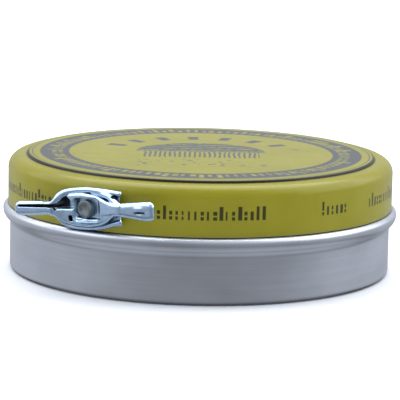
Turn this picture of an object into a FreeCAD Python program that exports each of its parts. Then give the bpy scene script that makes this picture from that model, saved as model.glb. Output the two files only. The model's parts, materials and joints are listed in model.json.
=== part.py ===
"""Shoe polish tin: a drawn can of wax polish, its lid, and the winged key that pries the lid off.

Millimetres, +Z up. The origin is the centre of the can's base, on the plane that the tin rests on.
The key's rivet points along -Y.
"""
import FreeCAD, Part
import math
import os
from FreeCAD import Vector

# Can, drawn from one disc of tinplate
sheet = 0.25                # tinplate of the can and the lid
can_radius = 44.0           # outside of the straight wall
foot_radius = 1.0           # outer corner between wall and base
floor_recess = 0.6          # floor panel above the rest plane
floor_bend = 0.5
stand_ring_width = 4.8      # flat ring that the can stands on, with its corner
wall_height = 10.3          # rest plane to where the wall starts to swell
bead_bulge = 1.6            # bead beyond the wall
bead_slope = 50.0           # degrees from vertical, steepest part of the swell
root_step = 0.1             # neck root beyond the wall
root_bend = 0.3             # bend from the bead's top up into the neck
bead_flat = 0.08            # flat top of the bead
root_height = 1.5           # grip band at the neck's root
neck_step = 0.7             # neck inside its root
step_bend = 0.5
neck_height = 7.2           # bead's top to the lip
lip_width = 0.9             # rolled lip, across
lip_drop = 1.1              # rolled lip, down its inner leg

# Polish
polish_gap = 0.05           # shrinkage away from the tinplate
polish_headroom = 3.2       # below the lip's inner leg, at the neck
polish_dish = 0.35          # how far the middle of the surface sinks as it sets

# Lid, drawn from one printed disc
lid_fit = 0.11              # between the skirt and the neck's root
lid_lift_gap = 0.15         # bead's top to the skirt's edge
lid_height = 11.1           # skirt's edge to the outer ring
shoulder_radius = 2.85      # outer corner between skirt and ring
ring_width = 4.34           # flat ring between skirt and raised panel
panel_rise = 0.56           # panel above the ring
panel_bend = 0.22

# Rivet
rivet_head_radius = 2.0
rivet_head_thickness = 1.25
rivet_head_round = 0.5
rivet_dimple = 0.14         # depth of the dished head
rivet_dimple_radius = 4.0
rivet_shank_radius = 1.0
rivet_tail_radius = 1.7
rivet_tail_thickness = 0.45
rivet_tail_round = 0.18
rivet_fit = 0.05            # shank in the lid and in the key
rivet_play = 0.04           # head to key, and tail to skirt

# Key, folded from steel strip; reaches are from the rivet along the key, half heights across it
key_sheet = 0.45
key_gap = 0.1               # key's back to the skirt
key_tilt = 6.0              # degrees, as parked: right wing up
key_clearance = 0.18        # parked key's lowest edge above the bead's top
wing_reach = 18.4
wing_depth = 1.7            # front to back
wing_round = 0.8            # corners across a wing
wing_clearance = 0.36       # wings' backs in front of the bead
left_wing_height = 2.9
right_wing_root = 2.2
right_wing_tip = 3.4
seam_width = 0.45           # open seam along the left wing's front
seam_rise = 0.35            # seam above the wing's middle
neck_reach = 7.3            # where the flange starts to widen from the left wing
neck_bend = 0.9
cheek_reach = 6.1           # flange's left shoulders
cheek_half_height = 4.1
cheek_bend = 1.7
crown_half_height = 4.75    # flange's widest place, at the rivet
crown_bend = 8.0
horn_reach = 9.2
horn_half_height = 3.5
horn_bend = 0.2
horn_notch = 0.9            # hollow between the horns' tips
boss_reach = 6.7            # raised boss around the rivet
boss_half_height = 3.7
boss_rise = 0.8             # boss's front beyond the wings' backs
boss_draft = 0.4            # how far the boss's wall leans in
boss_corner = 2.8
window_side = 1.5           # sunken pan that the rivet clamps, beyond the rivet's head along the key
window_slack = 0.3          # and across the key
window_corner = 1.2
fullest_corner = 0.95       # most that a round corner takes up of half its side

# Places that follow from the sizes above
half_sheet = sheet / 2
slope = math.radians(bead_slope)
swell_bend = bead_bulge / 2 / math.sin(slope) / math.tan(slope / 2)
swell_run = swell_bend * math.tan(slope / 2)
swell_low = wall_height + swell_run
swell_high = swell_low + bead_bulge / math.tan(slope)
crest_bend = bead_bulge - root_step - root_bend - bead_flat
ledge_z = swell_high + swell_run + crest_bend + half_sheet
bead_radius = can_radius + bead_bulge
root_radius = can_radius + root_step
neck_radius = root_radius - neck_step
lip_z = ledge_z + neck_height
polish_z = lip_z - lip_drop - polish_headroom
lid_radius = root_radius + lid_fit + sheet
lid_edge_z = ledge_z + lid_lift_gap
ring_z = lid_edge_z + lid_height
panel_z = ring_z + panel_rise
panel_radius = lid_radius - ring_width
wing_back = bead_radius + wing_clearance - lid_radius
wing_front = wing_back + wing_depth
pan_front = key_gap + key_sheet
boss_front = wing_back + boss_rise
window_width = 2 * (rivet_head_radius + window_side)
window_height = 2 * (rivet_head_radius + window_slack)

ORIGIN = Vector(0, 0, 0)
UP = Vector(0, 0, 1)


def bent_line(corners, side):
    """Edges of a bent line, at a distance to its left; corners are (x, z, bend radius), the ends without one."""
    points = [Vector(r, 0, z) for r, z, _ in corners]
    runs = [(b - a).normalize() for a, b in zip(points, points[1:])]
    normals = [Vector(-run.z, 0, run.x) for run in runs]
    stops = [(points[0] + normals[0] * side,) * 2]
    bends = [None]
    for i in range(1, len(points) - 1):
        before, after = normals[i - 1], normals[i]
        corner = points[i] + (before + after) * (side / (1 + before.dot(after)))
        left = runs[i - 1].x * runs[i].z - runs[i - 1].z * runs[i].x
        radius = corners[i][2] - math.copysign(side, left * side)
        reach = radius * math.tan(runs[i - 1].getAngle(runs[i]) / 2)
        start = corner - runs[i - 1] * reach
        end = corner + runs[i] * reach
        middle = corner - (corner * 2 - start - end).normalize() * bow(radius, reach)
        stops.append((start, end))
        bends.append(middle)
    stops.append((points[-1] + normals[-1] * side,) * 2)
    edges = []
    for i in range(1, len(stops)):
        if stops[i - 1][1].distanceToPoint(stops[i][0]) > 1e-6:
            edges.append(line(stops[i - 1][1], stops[i][0]))
        if i < len(bends):
            edges.append(Part.Arc(stops[i][0], bends[i], stops[i][1]).toShape())
    return edges


def bow(radius, reach):
    """How far an arc stays from its corner."""
    return math.hypot(radius, reach) - radius


def line(start, end):
    return Part.LineSegment(start, end).toShape()


def start_of(edges):
    return edges[0].Vertexes[0].Point


def end_of(edges):
    return edges[-1].Vertexes[-1].Point


def spin(edges):
    """Solid of revolution about the tin's axis from a closed outline in the XZ plane."""
    outline = Part.Wire(Part.__sortEdges__(edges))
    return Part.Face(outline).revolve(ORIGIN, UP, 360)


def drawn(corners):
    """Shell of one sheet thickness, turned about the axis."""
    inner = bent_line(corners, half_sheet)
    outer = bent_line(corners, -half_sheet)
    return spin(inner + outer + [line(start_of(inner), start_of(outer)), line(end_of(inner), end_of(outer))])


def can_corners():
    """Middle line of the can's sheet, from the centre of the floor to the lip's inner leg."""
    floor = floor_recess + half_sheet
    wall = can_radius - half_sheet
    crest = bead_radius - half_sheet
    root = root_radius - half_sheet
    neck = neck_radius - half_sheet
    ring = wall - stand_ring_width
    return [(0, floor, 0),
            (ring - floor_recess, floor, floor_bend),
            (ring, half_sheet, floor_bend),
            (wall, half_sheet, foot_radius - half_sheet),
            (wall, swell_low, swell_bend),
            (crest, swell_high, swell_bend),
            (crest, ledge_z - half_sheet, crest_bend),
            (root, ledge_z - half_sheet, root_bend),
            (root, ledge_z + root_height, step_bend),
            (neck, ledge_z + root_height + neck_step, step_bend),
            (neck, lip_z - half_sheet, lip_width / 2),
            (neck - lip_width, lip_z - half_sheet, lip_width / 2),
            (neck - lip_width, lip_z - lip_drop, 0)]


def base_can():
    return drawn(can_corners())


def shoe_polish():
    """Everything inside the can's inner face, up to a dished surface."""
    lip_corners = 3
    up_to_lip = can_corners()[:-lip_corners] + [(neck_radius - half_sheet, lip_z, 0)]
    wall = bent_line(up_to_lip, half_sheet + polish_gap)
    lip_centre = Vector(0, 0, lip_z)
    inside = spin(wall + [line(end_of(wall), lip_centre), line(lip_centre, start_of(wall))])
    edge = Vector(bead_radius, 0, polish_z)
    middle = Vector(0, 0, polish_z - polish_dish)
    halfway = Vector(bead_radius / 2, 0, polish_z - polish_dish * 3 / 4)
    above = Vector(bead_radius, 0, lip_z + 1)
    centre_above = Vector(0, 0, lip_z + 1)
    air = spin([Part.Arc(middle, halfway, edge).toShape(), line(edge, above),
                line(above, centre_above), line(centre_above, middle)])
    return inside.cut(air)


def on_skirt(shape):
    """Carry a shape from the rivet's own frame (x along the skirt, y up, z outwards) to the lid."""
    shape.rotate(ORIGIN, Vector(1, 0, 0), 90)
    shape.translate(Vector(0, -lid_radius, rivet_z))
    return shape


def disc(radius, low, high):
    return Part.makeCylinder(radius, high - low, Vector(0, 0, low))


def lid():
    skirt = lid_radius - half_sheet
    flat = ring_z - half_sheet
    shell = drawn([(0, panel_z - half_sheet, 0),
                   (panel_radius - sheet, panel_z - half_sheet, panel_bend),
                   (panel_radius - half_sheet, flat, panel_bend),
                   (skirt, flat, shoulder_radius - half_sheet),
                   (skirt, lid_edge_z, 0)])
    return shell.cut(on_skirt(disc(rivet_shank_radius + rivet_fit, -2, 2)))


def key_rivet():
    """Rivet with a dished head outside the key and its tail set over inside the skirt."""
    head_low = pan_front + rivet_play
    head_high = head_low + rivet_head_thickness
    sagitta = rivet_tail_radius ** 2 / (2 * (lid_radius - sheet))
    tail_high = -sheet - sagitta - rivet_play
    tail_low = tail_high - rivet_tail_thickness
    head = disc(rivet_head_radius, head_low, head_high)
    head = head.makeFillet(rivet_head_round, [rim(head, head_high)])
    dimple_centre = Vector(0, 0, head_high - rivet_dimple + rivet_dimple_radius)
    head = head.cut(Part.makeSphere(rivet_dimple_radius, dimple_centre))
    tail = disc(rivet_tail_radius, tail_low, tail_high)
    tail = tail.makeFillet(rivet_tail_round, [rim(tail, tail_low)])
    shank = disc(rivet_shank_radius, (tail_low + tail_high) / 2, (head_low + head_high) / 2)
    return on_skirt(head.fuse([shank, tail]).removeSplitter())


def rim(shape, level):
    """The circular edge of a disc at one level."""
    for edge in shape.Edges:
        if edge.isClosed() and abs(edge.CenterOfMass.z - level) < 1e-6:
            return edge


def rounded(half_width, half_height, corner, level):
    """Closed wire: a rectangle with round corners about the rivet's axis."""
    w, h = half_width, half_height
    r = min(corner, fullest_corner * w, fullest_corner * h)
    edges = []
    for sx, sy in ((1, 1), (-1, 1), (-1, -1), (1, -1)):
        centre = Vector(sx * (w - r), sy * (h - r), level)
        across = centre + Vector(sx * r, 0, 0)
        along = centre + Vector(0, sy * r, 0)
        middle = centre + Vector(sx, sy, 0).normalize() * r
        first, last = (across, along) if sx * sy > 0 else (along, across)
        if edges:
            edges.append(line(end_of(edges), first))
        edges.append(Part.Arc(first, middle, last).toShape())
    edges.append(line(end_of(edges), start_of(edges)))
    return Part.Wire(edges)


def block(half_width, half_height, corner, low, high):
    return Part.Face(rounded(half_width, half_height, corner, low)).extrude(Vector(0, 0, high - low))


def boss(shrink, low, high):
    """Raised oval of the key, its wall leaning in towards the front."""
    foot = rounded(boss_reach - shrink, boss_half_height - shrink, boss_corner - shrink, low)
    inset = shrink + boss_draft
    top = rounded(boss_reach - inset, boss_half_height - inset, boss_corner - inset, high)
    return Part.makeLoft([foot, top], True, True)


def flange():
    """Flat back plate: shoulders beside the left wing, a crown at the rivet, two horns at the right."""
    upper = [(-neck_reach - neck_bend, left_wing_height / 2, 0),
             (-neck_reach, left_wing_height / 2, neck_bend),
             (-cheek_reach, cheek_half_height, cheek_bend),
             (0, crown_half_height, crown_bend),
             (horn_reach, horn_half_height, horn_bend),
             (horn_reach - horn_notch, right_wing_root / 2, 0)]
    edges = bent_line(upper, 0)
    lower = [edge.mirror(ORIGIN, UP) for edge in edges]
    ends = [line(start_of(edges), start_of(lower)), line(end_of(edges), end_of(lower))]
    face = Part.Face(Part.Wire(Part.__sortEdges__(edges + lower + ends)))
    plate = face.extrude(Vector(0, -key_sheet, 0))
    plate.rotate(ORIGIN, Vector(1, 0, 0), -90)
    plate.translate(Vector(0, 0, key_gap))
    return plate


def wing_section(x, height, back, front):
    """Closed wire across a wing: a flattened round."""
    wire = rounded(height / 2, (front - back) / 2, wing_round, 0)
    wire.rotate(ORIGIN, UP, 90)
    wire.rotate(ORIGIN, Vector(0, 1, 0), 90)
    wire.translate(Vector(x, 0, (back + front) / 2))
    return wire


def wing(stations, wall):
    """Loft along the key through stations (x, height, back, front), each drawn in by a wall."""
    wires = []
    for x, height, back, front in stations:
        wires.append(wing_section(x, height - 2 * wall, back + wall, front - wall))
    return Part.makeLoft(wires, True, True)


def parked_drop():
    """How far the parked key reaches below its rivet."""
    plate = flange()
    plate.rotate(ORIGIN, UP, key_tilt)
    return -plate.BoundBox.YMin


def opener_key():
    """Flange, boss and wings as one folded strip, with the pan that the rivet clamps."""
    boss_end = boss_reach - boss_draft - key_sheet
    left = [(-wing_reach, left_wing_height, wing_back, wing_front),
            (-boss_end, left_wing_height, wing_back, wing_front)]
    right = [(boss_end, right_wing_root, wing_back, boss_front + half_sheet),
             (horn_reach, right_wing_root, wing_back, wing_front),
             (wing_reach, right_wing_tip, wing_back, wing_front)]
    body = flange().fuse([boss(0, key_gap, boss_front), wing(left, 0), wing(right, 0)])
    pan = block(window_width / 2 + key_sheet, window_height / 2 + key_sheet, window_corner + key_sheet,
                key_gap, boss_front)
    under_boss = boss(key_sheet, key_gap - 1, boss_front - key_sheet).cut(pan)
    window = block(window_width / 2, window_height / 2, window_corner, pan_front, boss_front + 1)
    bores = [wing([(x - key_sheet, *size) for x, *size in left], key_sheet),
             wing([(x + key_sheet, *size) for x, *size in right[1:]], key_sheet)]
    seam = Part.makeBox(wing_reach - boss_reach + 1, seam_width, wing_depth,
                        Vector(-wing_reach - 1, seam_rise - seam_width / 2, wing_back + wing_depth / 2))
    hole = disc(rivet_shank_radius + rivet_fit, key_gap - 1, boss_front)
    key = body.cut([under_boss, window, seam, hole] + bores).removeSplitter()
    key.rotate(ORIGIN, UP, key_tilt)
    return on_skirt(key)


rivet_z = ledge_z + key_clearance + parked_drop()
os.makedirs("parts", exist_ok=True)
for make in (base_can, shoe_polish, lid, key_rivet, opener_key):
    shape = make()
    shape.exportStep("parts/" + make.__name__ + ".step")
    print(make.__name__, shape.ShapeType, len(shape.Solids), shape.isValid(), round(shape.Volume, 2), shape.BoundBox)
print("bead top", round(ledge_z, 3), "rivet axis", round(rivet_z, 3), "total height", round(panel_z, 3))
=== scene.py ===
import json
import math

import bmesh
import bpy
import numpy as np
from mathutils import Matrix, Vector


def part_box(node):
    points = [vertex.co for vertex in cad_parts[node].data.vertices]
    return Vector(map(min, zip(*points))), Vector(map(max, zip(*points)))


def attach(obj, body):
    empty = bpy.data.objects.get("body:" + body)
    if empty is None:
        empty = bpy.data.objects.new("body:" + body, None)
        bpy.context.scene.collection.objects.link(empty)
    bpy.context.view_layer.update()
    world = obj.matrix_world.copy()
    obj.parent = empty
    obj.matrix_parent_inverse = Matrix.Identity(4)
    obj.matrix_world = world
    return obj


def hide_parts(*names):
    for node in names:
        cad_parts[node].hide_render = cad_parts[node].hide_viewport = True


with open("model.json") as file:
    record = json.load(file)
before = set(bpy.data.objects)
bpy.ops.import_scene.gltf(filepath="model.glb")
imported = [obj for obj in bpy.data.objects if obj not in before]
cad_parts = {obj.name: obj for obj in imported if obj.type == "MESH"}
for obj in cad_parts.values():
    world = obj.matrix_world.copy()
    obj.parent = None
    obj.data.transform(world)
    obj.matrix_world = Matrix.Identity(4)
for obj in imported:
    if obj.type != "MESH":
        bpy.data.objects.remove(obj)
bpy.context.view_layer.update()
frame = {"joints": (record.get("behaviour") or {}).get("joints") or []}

# ---- Camera -------------------------------------------------------------------------------------
# A long lens, a little above the tin and turned so that the key is left of the middle.
# The camera is rolled by about a degree.
MM = 0.001
camera_turn = math.radians(32.6)
camera_tilt = math.radians(80.046)
camera_roll = math.radians(1.147)
camera_distance, camera_height = 0.53847, 0.11005
camera_data = bpy.data.cameras.new("camera")
camera_data.sensor_width = 36
camera_data.lens = 211.57
camera_data.clip_end = 20
camera = bpy.data.objects.new("camera", camera_data)
bpy.context.scene.collection.objects.link(camera)
bpy.context.scene.camera = camera
towards_camera = Vector((math.sin(camera_turn), -math.cos(camera_turn), 0))
camera.matrix_world = (Matrix.Translation(towards_camera * camera_distance + Vector((0, 0, camera_height)))
                       @ Matrix.Rotation(camera_turn, 4, "Z")
                       @ Matrix.Rotation(camera_tilt, 4, "X")
                       @ Matrix.Rotation(camera_roll, 4, "Z"))

# ---- Base can -----------------------------------------------------------------------------------
# The can is deep-drawn from one disc of bare tinplate: recessed floor, straight wall, a bead that
# was rolled out to carry the lid, and a narrower neck that ends in a rolled lip.
sheet = 0.25 * MM
can_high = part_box("base_can")[1]
bead_radius = can_high.x
wall_radius = bead_radius - 1.6 * MM
root_radius = wall_radius + 0.1 * MM
neck_radius = root_radius - 0.7 * MM
lip_z = can_high.z
ledge_z = lip_z - 7.2 * MM


def rounded_line(corners, turn=math.radians(6)):
    """Points along a bent line in the (radius, z) plane; corners are (radius, z, bend radius)."""
    points = [Vector(corners[0][:2])]
    for before, corner, after in zip(corners, corners[1:], corners[2:]):
        here = Vector(corner[:2])
        arriving = (here - Vector(before[:2])).normalized()
        leaving = (Vector(after[:2]) - here).normalized()
        angle = arriving.angle_signed(leaving)
        radius = corner[2]
        reach = radius * math.tan(abs(angle) / 2)
        steps = max(2, round(abs(angle) / turn))
        side = Vector((arriving.y, -arriving.x)) * math.copysign(1, angle)
        centre = here - arriving * reach + side * radius
        for step in range(steps + 1):
            spoke = Matrix.Rotation(-angle * step / steps, 2) @ (-side * radius)
            points.append(centre + spoke)
    points.append(Vector(corners[-1][:2]))
    return points


def sheet_outline(corners, thickness):
    """Closed outline of a sheet that follows a bent middle line."""
    middle = rounded_line(corners)
    middle = [p for i, p in enumerate(middle) if i == 0 or (p - middle[i - 1]).length > 1e-7]
    left, right = [], []
    for i, point in enumerate(middle):
        run = (middle[min(i + 1, len(middle) - 1)] - middle[max(i - 1, 0)]).normalized()
        normal = Vector((-run.y, run.x)) * thickness / 2
        left.append(point + normal)
        right.append(point - normal)
    return left + right[::-1]


def turned(name, outline, turns=288):
    """Object made by turning a closed outline about the tin's axis."""
    mesh = bmesh.new()
    rings = []
    for turn in range(turns):
        angle = 2 * math.pi * turn / turns
        rings.append([mesh.verts.new((p.x * math.cos(angle), p.x * math.sin(angle), p.y)) for p in outline])
    for turn in range(turns):
        ring, following = rings[turn], rings[(turn + 1) % turns]
        for i in range(len(outline)):
            j = (i + 1) % len(outline)
            mesh.faces.new((ring[i], following[i], following[j], ring[j]))
    bmesh.ops.remove_doubles(mesh, verts=mesh.verts, dist=1e-7)
    bmesh.ops.dissolve_degenerate(mesh, edges=mesh.edges, dist=1e-8)
    bmesh.ops.recalc_face_normals(mesh, faces=mesh.faces)
    return finished(name, mesh)


def finished(name, mesh, sharp=40):
    """Object from a bmesh, shaded smooth up to bends of so many degrees."""
    data = bpy.data.meshes.new(name)
    mesh.to_mesh(data)
    mesh.free()
    data.polygons.foreach_set("use_smooth", [True] * len(data.polygons))
    data.set_sharp_from_angle(angle=math.radians(sharp))
    made = bpy.data.objects.new(name, data)
    bpy.context.scene.collection.objects.link(made)
    return made


class Shade:
    """A socket of a material's nodes. Sums on it add Math nodes; node() adds any other node."""

    def __init__(self, tree, socket=None):
        self.tree, self.socket = tree, socket

    def node(self, kind, settings=None, sockets=None, output=0):
        made = self.tree.nodes.new(kind)
        for name, value in (settings or {}).items():
            if name == "stops":
                ramp = made.color_ramp.elements
                while len(ramp) < len(value):
                    ramp.new(1)
                for stop, (place, colour) in zip(ramp, value):
                    stop.position, stop.color = place, (*colour, 1)
            else:
                setattr(made, name, value)
        for name, value in (sockets or {}).items():
            if isinstance(value, Shade):
                self.tree.links.new(value.socket, made.inputs[name])
            else:
                made.inputs[name].default_value = value
        return Shade(self.tree, made.outputs[output])

    def sum(self, operation, first, second=0.0):
        return self.node("ShaderNodeMath", {"operation": operation}, {0: first, 1: second})

    def __add__(self, other):
        return self.sum("ADD", self, other)

    def __radd__(self, other):
        return self.sum("ADD", other, self)

    def __sub__(self, other):
        return self.sum("SUBTRACT", self, other)

    def __rsub__(self, other):
        return self.sum("SUBTRACT", other, self)

    def __mul__(self, other):
        return self.sum("MULTIPLY", self, other)

    def __rmul__(self, other):
        return self.sum("MULTIPLY", other, self)

    def __truediv__(self, other):
        return self.sum("DIVIDE", self, other)

    def __neg__(self):
        return self.sum("MULTIPLY", self, -1.0)

    def __abs__(self):
        return self.sum("ABSOLUTE", self)

    def power(self, exponent):
        return self.sum("POWER", self, exponent)

    def most(self, other):
        return self.sum("MAXIMUM", self, other)

    def rise(self, low, high):
        """0 below low, 1 above high, smooth between."""
        return self.node("ShaderNodeMapRange", {"interpolation_type": "SMOOTHSTEP"},
                         {"Value": self, "From Min": low, "From Max": high})

    def within(self, low, high, soft=0.1):
        """1 between low and high, 0 outside, with a soft edge."""
        return self.rise(low - soft, low + soft) * (1 - self.rise(high - soft, high + soft))

    def along(self, direction):
        """How far a place lies along a direction."""
        return self.node("ShaderNodeVectorMath", {"operation": "DOT_PRODUCT"},
                         {0: self, 1: direction}, output=1)

    def whole(self):
        """The whole number below."""
        return self.sum("FLOOR", self)

    def wave(self):
        """Sine, from -1 to 1."""
        return self.sum("SINE", self)

    def angle(self, other):
        """Angle, in radians, of a place that lies so far up and so far across."""
        return self.sum("ARCTAN2", self, other)

    def painted_occlusion(self, reach, settings=None):
        """0 in a corner, 1 where nothing stands within reach; the materials use it to paint shade into their
        colour.
        """
        return self.node("ShaderNodeAmbientOcclusion", {"samples": 8, **(settings or {})},
                         {"Distance": reach}, output=1)

    def chance(self):
        """A number from 0 to 1 that differs for each value."""
        return self.node("ShaderNodeTexWhiteNoise", {"noise_dimensions": "1D"}, {"W": self})

    def mixed(self, first, second):
        """Colour between first and second, by this socket."""
        return self.node("ShaderNodeMix", {"data_type": "RGBA"}, {0: self, 6: first, 7: second}, output=2)

    def cloud(self, scale, detail=3.0, stretch=(1, 1, 1)):
        """Noise from 0 to 1 with a scale in features per metre, stretched along the axes."""
        placed = self.node("ShaderNodeMapping", {}, {"Vector": self, "Scale": stretch})
        return self.node("ShaderNodeTexNoise", {}, {"Vector": placed, "Scale": scale, "Detail": detail})


def material(name, metallic, coat=0.0, specular=0.5):
    """New material: the place on the object in metres, and its shader to be wired."""
    made = bpy.data.materials.new(name)
    made.use_nodes = True
    tree = made.node_tree
    shader = tree.nodes["Principled BSDF"]
    shader.inputs["Metallic"].default_value = metallic
    shader.inputs["Coat Weight"].default_value = coat
    shader.inputs["Coat Roughness"].default_value = 0.12
    shader.inputs["Specular IOR Level"].default_value = specular
    place = Shade(tree).node("ShaderNodeTexCoord", {}, {}, output=3)
    return made, place, shader


def wire(shader, **sockets):
    """Link what varies to the shader: colour, roughness, and bump as (height, metres)."""
    names = {"colour": "Base Color", "roughness": "Roughness"}
    for key, value in sockets.items():
        if key == "bump":
            height, distance = value
            value = height.node("ShaderNodeBump", {}, {"Height": height, "Distance": distance})
            value.tree.links.new(value.socket, shader.inputs["Normal"])
        else:
            value.tree.links.new(value.socket, shader.inputs[names[key]])


def bare_tinplate():
    """Satin drawn tin: level bands from the drawing die, soft mottling, fine scuffs, and painted shade, near
    black, where the lid, the floor or a corner comes close.
    """
    made, place, shader = material("bare_tinplate", 1.0)
    bands = place.cloud(160, 4, (0.12, 0.12, 9))
    fine = place.cloud(900, 2, (0.06, 0.06, 6))
    mottle = place.cloud(55, 3, (1, 1, 1.6))
    grain = place.cloud(5200, 1)
    tone = bands * 0.25 + mottle * 0.6 + fine * 0.15
    clean = tone.rise(0.3, 0.7).mixed((0.56, 0.58, 0.62, 1), (0.70, 0.72, 0.76, 1))
    # Painted shade: ambient occlusion darkens the colour to near black under the lid's edge, at the floor
    # and in the can's own corners.
    painted_occlusion = place.painted_occlusion(2.4 * MM)
    colour = painted_occlusion.rise(0.2, 0.8).mixed((0.06, 0.06, 0.065, 1), clean)
    wire(shader, colour=colour, roughness=0.27 + mottle * 0.18 + bands * 0.04,
         bump=(bands * 0.6 + fine * 0.15 + grain * 0.25, 0.009 * MM))
    return made


def can_outline():
    floor = 0.6 * MM + sheet / 2
    wall, bead = wall_radius - sheet / 2, bead_radius - sheet / 2
    root, neck = root_radius - sheet / 2, neck_radius - sheet / 2
    slope = math.radians(50)
    swell = 0.8 * MM / math.sin(slope) / math.tan(slope / 2)
    run = swell * math.tan(slope / 2)
    crest = 1.12 * MM
    high = ledge_z - sheet / 2 - crest - run
    low = high - 1.6 * MM / math.tan(slope)
    ring = wall - 4.8 * MM
    return sheet_outline([(0, floor, 0),
                          (ring - 14 * MM, floor, 6 * MM),
                          (ring - 0.6 * MM, floor, 0.5 * MM),
                          (ring, sheet / 2, 0.5 * MM),
                          (wall, sheet / 2, 0.88 * MM),
                          (wall, low, swell),
                          (bead, high, swell),
                          (bead, ledge_z - sheet / 2, crest),
                          (root, ledge_z - sheet / 2, 0.3 * MM),
                          (root, ledge_z + 1.5 * MM, 0.5 * MM),
                          (neck, ledge_z + 2.2 * MM, 0.5 * MM),
                          (neck, lip_z - sheet / 2, 0.45 * MM),
                          (neck - 0.9 * MM, lip_z - sheet / 2, 0.45 * MM),
                          (neck - 0.9 * MM, lip_z - 1.1 * MM, 0)], sheet)


can = turned("tin_can", can_outline())
can.data.materials.append(bare_tinplate())
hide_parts("base_can")
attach(can, "base")

# ---- Shoe polish --------------------------------------------------------------------------------
# A cake of black wax, poured hot into the can. It sank a little in the middle as it set and
# shows slow ripples and a ring where it pulled away from the wall.
polish_low, polish_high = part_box("shoe_polish")


def polish_wax():
    made, place, shader = material("polish_wax", 0.0, coat=0.25)
    ripple = place.cloud(70, 2)
    pits = place.cloud(1500, 2)
    colour = ripple.rise(0.3, 0.8).mixed((0.011, 0.010, 0.009, 1), (0.028, 0.024, 0.021, 1))
    wire(shader, colour=colour, roughness=0.3 + pits * 0.25, bump=(ripple * 0.9 + pits * 0.1, 0.25 * MM))
    return made


def polish_outline():
    edge = neck_radius - sheet - 0.05 * MM
    top = polish_high.z - 0.05 * MM
    wall = wall_radius - sheet - 0.05 * MM
    return rounded_line([(0, polish_low.z + 0.6 * MM, 0),
                         (wall, polish_low.z + 0.6 * MM, 0.7 * MM),
                         (wall, ledge_z - 3 * MM, 0.4 * MM),
                         (edge, ledge_z + 2 * MM, 0.4 * MM),
                         (edge, top - 0.1 * MM, 0.25 * MM),
                         (edge - 1.6 * MM, top - 0.25 * MM, 1.5 * MM),
                         (edge - 14 * MM, top - 0.33 * MM, 6 * MM),
                         (0, top - 0.36 * MM, 0)])


polish = turned("polish_cake", polish_outline())
polish.data.materials.append(polish_wax())
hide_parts("shoe_polish")
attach(polish, "base")

# ---- Lid ----------------------------------------------------------------------------------------
# Tinplate, printed flat in yellow and dark blue-grey, lacquered, then drawn: a skirt that grips the
# can's neck, a round shoulder, a flat ring, and a top panel raised by a small step.
lid_low, lid_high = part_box("lid")
lid_radius = lid_high.x
panel_radius = lid_radius - 4.34 * MM
ring_z = lid_high.z - 0.56 * MM

# The picture is turned by print_turn from the key. Its sizes are in millimetres, and its radii are
# from the lid's middle. Skirt groups run from one bar to another, counted from the picture's foot.
print_turn = math.radians(32.6)
ring_inner, ring_outer = 30.5, 37.2
ring_bar_inner, ring_bar_outer, ring_bar_pitch = 32.0, 35.8, 2.0
ring_middle = 34
ray_inner, ray_outer = 19.5, 24.0
hoop_inner, hoop_outer = 38.85, 39.1
step_inner, step_outer = 39.65, 40.36
brush_half, brush_height, brush_foot = 15, 13, 1
skirt_pitch = 1.35
skirt_groups = ((-55, -27), (-8, 11), (21, 27), (33, 57), (67, 77), (-99, -68), (87, 103))
skirt_mark_low, skirt_mark_high = 18.9, 21.9


def tally(along, pitch, across, low, high):
    """Marks in a row: bars of chance widths, tall or short, some of them broken by a gap."""
    cell = (along / pitch).whole()
    inside = along / pitch - cell
    wide, tall, broken = cell.chance(), (cell + 0.37).chance(), (cell + 0.71).chance()
    bar = inside.within(0.14, 0.42 + wide * 0.42, 0.05)
    height = across.within(low, high - tall.rise(0.3, 0.32) * (high - low) * 0.36, 0.08)
    gap = across.within(low + (high - low) * 0.25, low + (high - low) * 0.36, 0.06)
    return bar * height * (1 - broken.rise(0.6, 0.62) * gap)


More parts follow.
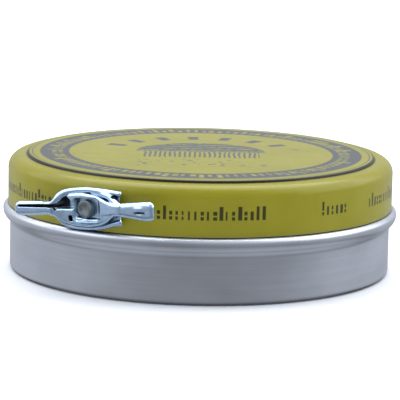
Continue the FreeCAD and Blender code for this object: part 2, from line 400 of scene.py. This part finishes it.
def printed_tinplate():
    """Yellow lacquer printed in dark blue-grey: an even ring of bars round a plain shoe brush."""
    made, place, shader = material("printed_tinplate", 0.0, coat=0.1, specular=0.3)
    cosine, sine = math.cos(print_turn) / MM, math.sin(print_turn) / MM
    across = place.along((cosine, sine, 0))
    away = place.along((-sine, cosine, 0))
    up = place.along((0, 0, 1 / MM))
    radius = (across * across + away * away).power(0.5)
    turn = away.angle(across)
    fleck = place.cloud(900, 2)
    patch = place.cloud(330, 3)

    ring_band = radius.within(ring_inner, ring_outer)
    ring_bars = tally(turn * ring_middle, ring_bar_pitch, radius, ring_bar_inner, ring_bar_outer)
    hoop = radius.within(hoop_inner, hoop_outer, 0.05)
    brush_x, brush_y = across / brush_half, (away - brush_foot) / brush_height
    dome = (brush_x * brush_x + brush_y * brush_y).rise(1.02, 0.97) * away.rise(0.9, 1.1)
    grain = (away * 2.2 + patch * 5).wave().rise(0.55, 0.75)
    brush_back = dome * (1 - grain * fleck.rise(0.4, 0.5))
    bristle = (across * 5.5 + patch * 6).wave().rise(0.0, 0.4)
    bristles = bristle * across.within(-13.5, 13.5) * away.within(-6.0 + fleck * -3.5, 0.4)
    rays = (1 - (turn * 18).wave().rise(-0.6, -0.45)) * radius.within(ray_inner, ray_outer)
    rays = rays * away.rise(6.0, 7.0)
    crumbs = place.node("ShaderNodeTexVoronoi", {}, {"Vector": place, "Scale": 520})
    crumbs = crumbs.rise(0.34, 0.26) * patch.rise(0.46, 0.52)
    specks = crumbs * across.within(-16, 16, 0.5) * away.within(-21, -10, 0.5)
    picture = brush_back.most(bristles).most(rays).most(specks)
    on_top = up.rise(22, 23)
    panel_print = (ring_band * (1 - ring_bars)).most(picture).most(hoop) * on_top
    # The step's wall is coloured near black all round.
    step_ring = radius.within(step_inner, step_outer, 0.04) * on_top

    girth = across.angle(-away) * (lid_radius / MM)
    groups = sum(girth.within(low * skirt_pitch, high * skirt_pitch, 0.05) for low, high in skirt_groups)
    skirt_marks = tally(girth, skirt_pitch, up, skirt_mark_low, skirt_mark_high) * groups
    skirt_marks = skirt_marks * radius.rise(44, 44.1)
    cut_edge = up.rise(lid_low.z / MM + 0.1, lid_low.z / MM + 0.04)

    tint = place.cloud(90, 3)
    yellow = tint.rise(0.25, 0.75).mixed((0.235, 0.213, 0.005, 1), (0.265, 0.240, 0.008, 1))
    printed = (panel_print * 0.93).mixed(yellow, (0.050, 0.056, 0.072, 1))
    lined = step_ring.most(skirt_marks * 0.92).mixed(printed, (0.020, 0.018, 0.006, 1))
    colour = cut_edge.mixed(lined, (0.20, 0.20, 0.20, 1))
    peel = place.cloud(1500, 2)
    rubs = place.cloud(260, 4, (1, 1, 0.3))
    wire(shader, colour=colour, roughness=0.24 + rubs * 0.16 + panel_print * 0.05,
         bump=(peel * 0.7 + tint * 0.3, 0.012 * MM))
    return made


def lid_outline():
    skirt = lid_radius - sheet / 2
    panel = lid_high.z - sheet / 2
    return sheet_outline([(0, panel, 0),
                          (panel_radius - sheet, panel, 0.22 * MM),
                          (panel_radius - sheet / 2, ring_z - sheet / 2, 0.22 * MM),
                          (skirt, ring_z - sheet / 2, 2.72 * MM),
                          (skirt, lid_low.z, 0)], sheet)


lid = turned("tin_lid", lid_outline())
lid.data.materials.append(printed_tinplate())
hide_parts("lid")
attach(lid, "lid")

# ---- Key rivet ----------------------------------------------------------------------------------
# A soft steel rivet through the key and the skirt. The setting punch left its head dished and a
# little uneven; the tail is set over inside the lid.
key_joint = next(joint for joint in frame["joints"] if joint["name"] == "key_turn")
key_pivot = Vector(key_joint["pos_m"])


def on_skirt(made, tilt=0.0):
    """Carry a mesh from the key's own frame, z outwards, to its place on the lid's skirt."""
    made.data.transform(Matrix.Translation(key_pivot) @ Matrix.Rotation(math.radians(90), 4, "X")
                        @ Matrix.Rotation(math.radians(tilt), 4, "Z"))


def rivet_steel():
    """Dull grey steel, blotched and finely pitted where the punch struck it."""
    made, place, shader = material("rivet_steel", 1.0)
    blotch = place.cloud(650, 3)
    pits = place.cloud(4200, 2)
    colour = blotch.rise(0.3, 0.72).mixed((0.17, 0.19, 0.185, 1), (0.36, 0.41, 0.43, 1))
    wire(shader, colour=colour, roughness=0.34 + blotch * 0.2 + pits * 0.08,
         bump=(blotch * 0.75 + pits * 0.25, 0.09 * MM))
    return made


def rivet_outline():
    corners = [(0, 1.70, 0), (0.7, 1.72, 1.2), (1.45, 1.83, 0.5), (2.0, 1.83, 0.42), (2.0, 0.6, 0.08),
               (1.0, 0.6, 0.02), (1.0, -0.33, 0.02), (1.7, -0.33, 0.05), (1.7, -0.77, 0.18), (0, -0.77, 0)]
    return [point * MM for point in rounded_line(corners)]


rivet = turned("key_rivet_head", rivet_outline(), 96)
on_skirt(rivet)
rivet.data.materials.append(rivet_steel())
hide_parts("key_rivet")
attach(rivet, "lid")

# ---- Opener key ---------------------------------------------------------------------------------
# One strip of steel, folded and pressed, then plated bright: two wings rolled into tubes, the left
# one with its seam open to the front, a boss with a window for the rivet, and a back plate with a
# rolled rim and two horns that push on the can's bead.
key_tilt = 6
key_strip = 0.45
key_grid = (0.1, 0.08, 0.08)
key_u = np.arange(-18.7, 18.75, key_grid[0])[:, None, None]
key_v = np.arange(-5.2, 5.25, key_grid[1])[None, :, None]
key_n = np.arange(-0.1, 3.45, key_grid[2])[None, None, :]


def outline_distance(u, v, outline):
    """Distance from a closed outline, below zero inside it."""
    nearest, inside = np.inf, False
    for start, end in zip(outline, outline[1:] + outline[:1]):
        run = end - start
        along = ((u - start.x) * run.x + (v - start.y) * run.y) / max(run.length_squared, 1e-12)
        along = np.clip(along, 0, 1)
        nearest = np.minimum(nearest, np.hypot(u - start.x - along * run.x, v - start.y - along * run.y))
        level = (start.y > v) != (end.y > v)
        inside = inside ^ (level & (u < start.x + (v - start.y) * run.x / (run.y or 1e-12)))
    return np.where(inside, -nearest, nearest)


def round_box(*sides, soft):
    """Distance from a box with round edges, from how far a place is outside each pair of sides."""
    grown = [side + soft for side in sides]
    beyond = sum(np.maximum(side, 0) ** 2 for side in grown) ** 0.5
    return np.minimum(np.maximum.reduce(np.broadcast_arrays(*grown)), 0) + beyond - soft


def between(place, low, high):
    """How far a place is outside a slab."""
    return abs(place - (low + high) / 2) - (high - low) / 2


def curved(points, steps=6):
    """Points along a smooth curve through a few."""
    points = [Vector(point) for point in points]
    found = []
    for i in range(len(points) - 1):
        before, start = points[max(i - 1, 0)], points[i]
        end, after = points[i + 1], points[min(i + 2, len(points) - 1)]
        for step in range(steps):
            t = step / steps
            found.append(start + (end - before) * t / 2
                         + (2 * before - 5 * start + 4 * end - after) * t * t / 2
                         + (3 * start - before - 3 * end + after) * t ** 3 / 2)
    return found + [points[-1]]


def rolled(path):
    """Distance from a round strip that follows points (u, v, n, radius)."""
    nearest = np.full((key_u.shape[0], key_v.shape[1], 1), np.inf)
    middle, radius = np.zeros_like(nearest), np.zeros_like(nearest)
    for start, end in zip(path, path[1:]):
        run = end - start
        along = ((key_u - start.x) * run.x + (key_v - start.y) * run.y) / (run.x ** 2 + run.y ** 2)
        along = np.clip(along, 0, 1)
        away = np.hypot(key_u - start.x - along * run.x, key_v - start.y - along * run.y)
        closer = away < nearest
        nearest = np.where(closer, away, nearest)
        middle = np.where(closer, start.z + along * run.z, middle)
        radius = np.where(closer, start.w + along * run.w, radius)
    return np.hypot(nearest, key_n - middle) - radius


def joined(first, second, soft):
    """Two shapes as one, with a fillet between them."""
    share = np.clip(0.5 + (second - first) / soft / 2, 0, 1)
    return second + (first - second) * share - soft * share * (1 - share)


def cut(shape, tool, soft):
    """A shape with another taken away, its new edges rounded."""
    return -joined(-shape, tool, soft)


def skinned(name, field, corner, step):
    """Mesh whose skin lies where a field on a regular grid is zero: one vertex in each cell that the
    skin passes through, and one face round each edge of the grid that it crosses."""
    total = np.zeros((*field.shape, 3))
    count = np.zeros(field.shape)
    quads = []
    for axis in range(3):
        here = [slice(None)] * 3
        there = [slice(None)] * 3
        here[axis], there[axis] = slice(0, -1), slice(1, None)
        first, second = field[tuple(here)], field[tuple(there)]
        crossed = np.argwhere((first < 0) != (second < 0))
        picked = tuple(crossed.T)
        share = first[picked] / (first[picked] - second[picked])
        place = crossed.astype(float)
        place[:, axis] += share
        one, other = (axis + 1) % 3, (axis + 2) % 3
        ring = []
        for back_one, back_other in ((0, 0), (1, 0), (1, 1), (0, 1)):
            cell = crossed.copy()
            cell[:, one] -= back_one
            cell[:, other] -= back_other
            np.add.at(total, tuple(cell.T), place)
            np.add.at(count, tuple(cell.T), 1)
            ring.append(np.ravel_multi_index(tuple(cell.T), field.shape))
        ring = np.array(ring).T
        quads.append(np.where((first[picked] < 0)[:, None], ring[:, ::-1], ring))
    used = np.flatnonzero(count)
    number = np.zeros(field.size, int)
    number[used] = np.arange(len(used))
    places = total.reshape(-1, 3)[used] / count.ravel()[used, None]
    data = bpy.data.meshes.new(name)
    data.from_pydata((places * step + corner).tolist(), [], number[np.concatenate(quads)].tolist())
    mesh = bmesh.new()
    mesh.from_mesh(data)
    bpy.data.meshes.remove(data)
    return mesh


def key_field():
    """Distance from the key's skin, in millimetres."""
    u, v, n = key_u, key_v, key_n
    # Back plate, with the rims that are rolled along its edges.
    upper = [(-8.7, 1.5, 0), (-7.7, 1.7, 0.8), (-7.25, 3.9, 1.3), (0, 4.72, 9), (9.1, 3.55, 0.2),
             (8.2, 1.1, 0)]
    lower = [(8.2, -1.3, 0), (8.9, -3.75, 0.2), (0.4, -4.78, 9), (-6.4, -3.95, 2.4), (-8.3, -1.4, 1.5),
             (-8.9, -1.3, 0)]
    edge = outline_distance(u, v, rounded_line(upper) + rounded_line(lower))
    back_plate = round_box(edge, between(n, 0.1, 0.1 + key_strip), soft=0.18)
    top_rim = rolled(curved([(-9.8, 1.15, 2.72, 0.42), (-8.5, 1.25, 2.6, 0.45), (-7.5, 1.75, 2.35, 0.55),
                             (-6.55, 2.6, 1.7, 0.95), (-5.5, 3.3, 1.1, 0.9), (-3.6, 3.83, 0.8, 0.66),
                             (0, 4.02, 0.7, 0.58), (3.5, 3.8, 0.68, 0.58), (6.2, 3.5, 0.66, 0.55),
                             (8.6, 3.1, 0.6, 0.5)]))
    low_rim = rolled(curved([(-8.9, -1.1, 1.9, 0.4), (-8.0, -1.5, 1.5, 0.4), (-7.0, -2.7, 1.0, 0.45),
                             (-5.7, -3.6, 0.65, 0.45), (-3.6, -4.15, 0.6, 0.4), (0, -4.4, 0.55, 0.36),
                             (3.5, -4.15, 0.6, 0.42), (6.2, -3.5, 0.62, 0.5), (8.3, -3.05, 0.6, 0.5)]))
    web = rolled(curved([(1.8, 3.5, 0.7, 0.4), (4.2, 3.1, 0.8, 0.6), (6.2, 2.6, 1.0, 0.7),
                         (7.6, 1.7, 1.45, 0.7), (9.2, 0.9, 2.1, 0.6)]))
    chin = rolled(curved([(-10, 0.6, 1.3, 0.35), (-8.7, 0.6, 0.9, 0.35), (-7.4, 0.8, 0.6, 0.35),
                          (-6.2, 1.1, 0.45, 0.3)]))
    rims = joined(joined(joined(top_rim, web, 0.4), low_rim, 0.1), chin, 0.1)
    key = joined(back_plate, rims, 0.3)

    # Boss, pressed out between the wings.
    plateau = [(-4.75, 2.7, 0.3), (-4.0, 3.42, 0.5), (-0.5, 3.62, 9), (3.2, 2.95, 4), (5.9, 1.85, 3),
               (7.8, 1.45, 2), (10.5, 1.25, 0.1),
               (10.5, -1.45, 0.1), (8.4, -1.45, 2), (6.8, -2.35, 2), (5.4, -3.15, 3),
               (3.6, -3.75, 3), (0.2, -4.1, 8), (-3.6, -3.75, 4), (-5.9, -2.95, 3), (-7.6, -1.6, 2),
               (-9.6, -1.2, 0.2), (-9.6, 0.3, 0.1), (-2.8, 0.25, 0.1), (-2.8, 1.1, 0.3)]
    boss_edge = outline_distance(u, v, rounded_line([(-3.6, 1.75, 0), *plateau, (-3.6, 1.75, 0)]))
    rise = np.clip((u - 4.5) / 5, 0, 1)
    front = 2.3 + 0.75 * rise * rise * (3 - 2 * rise)
    slope = np.clip((-4.5 - u) / 4, 0, 1)
    front = front + 0.65 * slope * slope * (3 - 2 * slope) - 0.03 * v * v
    back = 0.25 + 1.3 * np.clip((abs(u) - 6.5) / 2.5, 0, 1)
    boss = round_box(boss_edge + 0.1 * (n - 0.55), between(n, back, front), soft=0.4)
    key = joined(key, boss, 0.12)

    # Wings: the left one level, the right one with a bump and a dent.
    left_share = np.clip((-8.5 - u) / 5, 0, 1)
    left_half = 1.45 + 0.18 * left_share
    left_middle = 0.3 - 0.12 * left_share
    left_plan = round_box(between(u, -18.2, -7.6), abs(v - left_middle) - left_half, soft=1.35)
    left_crown = 3.17 - 0.3 * ((v - left_middle) / left_half) ** 2
    left = round_box(left_plan, between(n, 1.5, left_crown), soft=0.78)
    right_share = np.clip((u - 9) / 7, 0, 1)
    right_half = 1.4 + 0.68 * right_share + 0.7 * np.clip((8 - u) / 4, 0, 1) ** 2
    right_middle = -0.08 - 0.3 * right_share
    right_plan = round_box(between(u, 4.4, 18.5), abs(v - right_middle) - right_half, soft=1.25)
    lifted = np.clip((u - 4.4) / 5, 0, 1)
    right_crown = (2.25 + 0.85 * lifted * lifted * (3 - 2 * lifted)
                   - 0.35 * ((v - right_middle) / right_half) ** 2)
    right = round_box(right_plan, between(n, 0.4 + 1.1 * lifted, right_crown), soft=0.72)
    bump = np.sqrt(((u - 14.9) / 1.5) ** 2 + ((v - 0.1) / 0.6) ** 2 + ((n - 2.74) / 0.4) ** 2) - 1
    right = joined(right, bump * 0.4, 0.2)
    dent = rolled(curved([(13.6, -0.5, 3.1, 0.1), (15.1, -0.62, 3.1, 0.3), (16.8, -0.4, 3.1, 0.1)]))
    right = cut(right, dent, 0.15)
    key = joined(key, joined(left, right, 0.1), 0.4)

    # What is pressed in or cut out: window, hollow, the left wing's bore and seam, folds, rivet hole.
    lean = 0.5 * np.clip(n - 0.6, 0, 1.7)
    window_edge = round_box(between(u, -1.9 - lean, 3.75), between(v, -2.1, 2.45), soft=0.8)
    edge_line = rolled(curved([(-0.6, 2.68, 2.3, 0.1), (1.6, 2.68, 2.3, 0.2), (3.4, 2.4, 2.3, 0.22),
                               (4.1, 1.5, 2.3, 0.24), (4.15, -0.4, 2.3, 0.24), (3.9, -1.6, 2.3, 0.1)]))
    fold_line = rolled(curved([(-3.1, -0.9, 2.3, 0.14), (-3.5, -1.6, 2.3, 0.24), (-3.3, -2.5, 2.2, 0.24),
                               (-2.6, -3.0, 2.15, 0.2), (-1.2, -3.35, 2.1, 0.16), (0.6, -3.5, 2.0, 0.08)]))
    below = np.clip(-v - 0.6, 0, 1.4) / 1.4
    window = round_box(window_edge - 0.55 * below * np.clip(n - 0.9, 0, 1.4), 0.55 - n, soft=0.05)
    hollow_edge = outline_distance(u, v, [Vector(p) for p in ((-9.0, 0.38), (-9.0, 0.84), (-7.2, 0.95),
                                                              (-6.2, 1.75), (-5.2, 2.75), (-4.75, 2.75),
                                                              (-3.1, 1.3), (-3.1, 0.3))])
    hollow_floor = 0.65 + 1.3 * np.clip((-5.6 - u) / 1.8, 0, 1)
    hollow = round_box(hollow_edge, hollow_floor - n, soft=0.05)
    bore = round_box(between(u, -17.7, -7.0), abs(v - left_middle) - left_half + key_strip,
                     between(n, 1.5 + key_strip, 3.2 - key_strip), soft=0.35)
    seam_half = 0.25 + 0.1 * np.clip((u + 17) / 5, 0, 1)
    seam = round_box(between(u, -17.0, -6.4), abs(v - 0.8) - seam_half, 2.3 - n, soft=0.05)
    corner_gap = round_box(between(u, -4.2, -3.2), between(v, -2.7, -1.3), 0.5 - n, soft=0.4)
    curl = np.sqrt(((u - 7.45) / 0.85) ** 2 + ((v - 2.3 + 0.3 * (u - 7.45)) / 0.45) ** 2
                   + ((n - 1.0) / 0.75) ** 2) - 1
    hole = round_box(np.hypot(u, v) - 1.05, soft=0.0)
    for tool, soft in ((window, 0.16), (hollow, 0.14), (bore, 0.1), (seam, 0.12), (corner_gap, 0.15),
                       (edge_line, 0.1), (fold_line, 0.1), (curl * 0.45, 0.15), (hole, 0.05)):
        key = cut(key, tool, soft)
    lower_fold = rolled(curved([(-3.0, -1.95, 1.2, 0.36), (-1.6, -2.3, 1.35, 0.42), (-0.3, -2.45, 1.2, 0.36),
                                (1.2, -2.55, 1.25, 0.36), (3.1, -2.6, 1.3, 0.4)]))
    return joined(key, lower_fold, 0.18)


def plated_strip():
    """Bright blue-white plating: faint rolling lines, soft dents, tarnish that varies at random, and painted
    shade, near black, in the creases, the hollow, the seam, the dent and a groove line.
    """
    made, place, shader = material("plated_strip", 1.0)
    dents = place.cloud(420, 2)
    lines = place.cloud(1400, 2, (0.15, 1, 1.5))
    tarnish = place.cloud(900, 3)
    # Painted shade: ambient occlusion within the key darkens the colour in its creases and corners.
    painted_occlusion = place.painted_occlusion(1.8 * MM, {"only_local": True})
    tilt = math.radians(key_tilt)
    across = place.along((math.cos(tilt) / MM, 0, math.sin(tilt) / MM)) - key_pivot.z * math.sin(tilt) / MM
    up = place.along((-math.sin(tilt) / MM, 0, math.cos(tilt) / MM)) - key_pivot.z * math.cos(tilt) / MM
    out = place.along((0, -1 / MM, 0)) + key_pivot.y / MM
    # Painted shade: the hollow by the left wing, the inside of the left wing's seam, the right wing's dent
    # and a line right of the window are made near black in colour, where the key lies in shade.
    fold = across.rise(-4.2, -4.8) * up.rise(0.2, 0.4) * (up - across * 0.45 - 5.05).rise(0.1, -0.2)
    tube = across.rise(-7.8, -8.6) * up.within(0.35, 1.3) * out.rise(2.7, 2.2)
    dent = across.within(13.7, 16.7, 0.3) * up.within(-0.85, -0.42, 0.12)
    groove = across.within(3.95, 4.3, 0.12) * up.within(-1.6, 2.0, 0.4) * 0.75
    painted_shade = (fold * out.rise(2.35, 1.9)).most(tube).most(dent).most(groove)
    clean = tarnish.rise(0.25, 0.75).mixed((0.48, 0.65, 0.85, 1), (0.58, 0.75, 0.93, 1))
    colour = (painted_occlusion.rise(0.2, 0.64) * (1 - painted_shade)).mixed((0.03, 0.035, 0.045, 1), clean)
    wire(shader, colour=colour, roughness=0.16 + tarnish * 0.1 + (1 - painted_occlusion) * 0.3 + painted_shade * 0.3,
         bump=(dents * 0.8 + lines * 0.2, 0.05 * MM))
    return made


key_mesh = skinned("key", key_field(), (key_u[0, 0, 0], key_v[0, 0, 0], key_n[0, 0, 0]), key_grid)
bmesh.ops.smooth_vert(key_mesh, verts=key_mesh.verts, factor=0.5, use_axis_x=True, use_axis_y=True,
                      use_axis_z=True)
bmesh.ops.scale(key_mesh, verts=key_mesh.verts, vec=(MM, MM, MM))
bmesh.ops.recalc_face_normals(key_mesh, faces=key_mesh.faces)
key = finished("turn_key", key_mesh, sharp=180)
on_skirt(key, key_tilt)
key.data.materials.append(plated_strip())
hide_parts("opener_key")
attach(key, "key")

# ---- Floor and light ----------------------------------------------------------------------------
# A plain pale floor that runs out of sight, and soft light from above and both sides.
floor_mesh = bmesh.new()
bmesh.ops.create_grid(floor_mesh, x_segments=8, y_segments=8, size=6)
floor = finished("floor", floor_mesh)
floor_material, floor_place, floor_shader = material("floor_paper", 0.0)
floor_tone = floor_place.cloud(3, 2).rise(0.2, 0.8).mixed((0.86, 0.865, 0.88, 1), (0.89, 0.89, 0.90, 1))
wire(floor_shader, colour=floor_tone, roughness=0.8 + floor_place.cloud(40) * 0.1)
floor.data.materials.append(floor_material)
floor.visible_glossy = False


def softbox(name, place, aim, size, power, colour=(1, 1, 1)):
    data = bpy.data.lights.new(name, "AREA")
    data.shape = "RECTANGLE"
    data.size, data.size_y = size
    data.energy = power
    data.color = colour
    lamp = bpy.data.objects.new(name, data)
    lamp.location = place
    lamp.rotation_euler = (Vector(aim) - Vector(place)).to_track_quat("-Z", "Y").to_euler()
    bpy.context.scene.collection.objects.link(lamp)


def beside(right, back, up):
    """A place given from the camera's side: to its right, away from it, and up."""
    return Matrix.Rotation(camera_turn, 3, "Z") @ Vector((right, back, up))


softbox("light_top", beside(0, 0.35, 1.1), (0, 0, 0), (1.4, 1.0), 15)
softbox("light_left", beside(-1.0, 0.05, 0.75), (0, 0, 0), (1.6, 1.1), 8, (0.93, 0.96, 1))
softbox("light_right", beside(1.0, 0.15, 0.75), (0, 0, 0), (1.6, 1.1), 9.5, (0.93, 0.96, 1))

room = bpy.data.worlds.new("room")
bpy.context.scene.world = room
room.use_nodes = True
sky = Shade(room.node_tree).node("ShaderNodeTexCoord", {}, {}, output=0)
front_side = sky.along(towards_camera)
height = sky.along((0, 0, 1))
shaded = front_side.rise(-0.1, 0.95)
walls = shaded.mixed((0.66, 0.70, 0.78, 1), (0.37, 0.39, 0.43, 1))
low = height.within(-0.58, -0.44, 0.04).mixed(walls, (0.16, 0.165, 0.18, 1))
lit = height.rise(0.1, 0.7).mixed(low, (0.72, 0.78, 0.88, 1))
background = room.node_tree.nodes["Background"]
room.node_tree.links.new(lit.socket, background.inputs["Color"])
background.inputs["Strength"].default_value = 0.8
bpy.context.scene.view_settings.view_transform = "Standard"
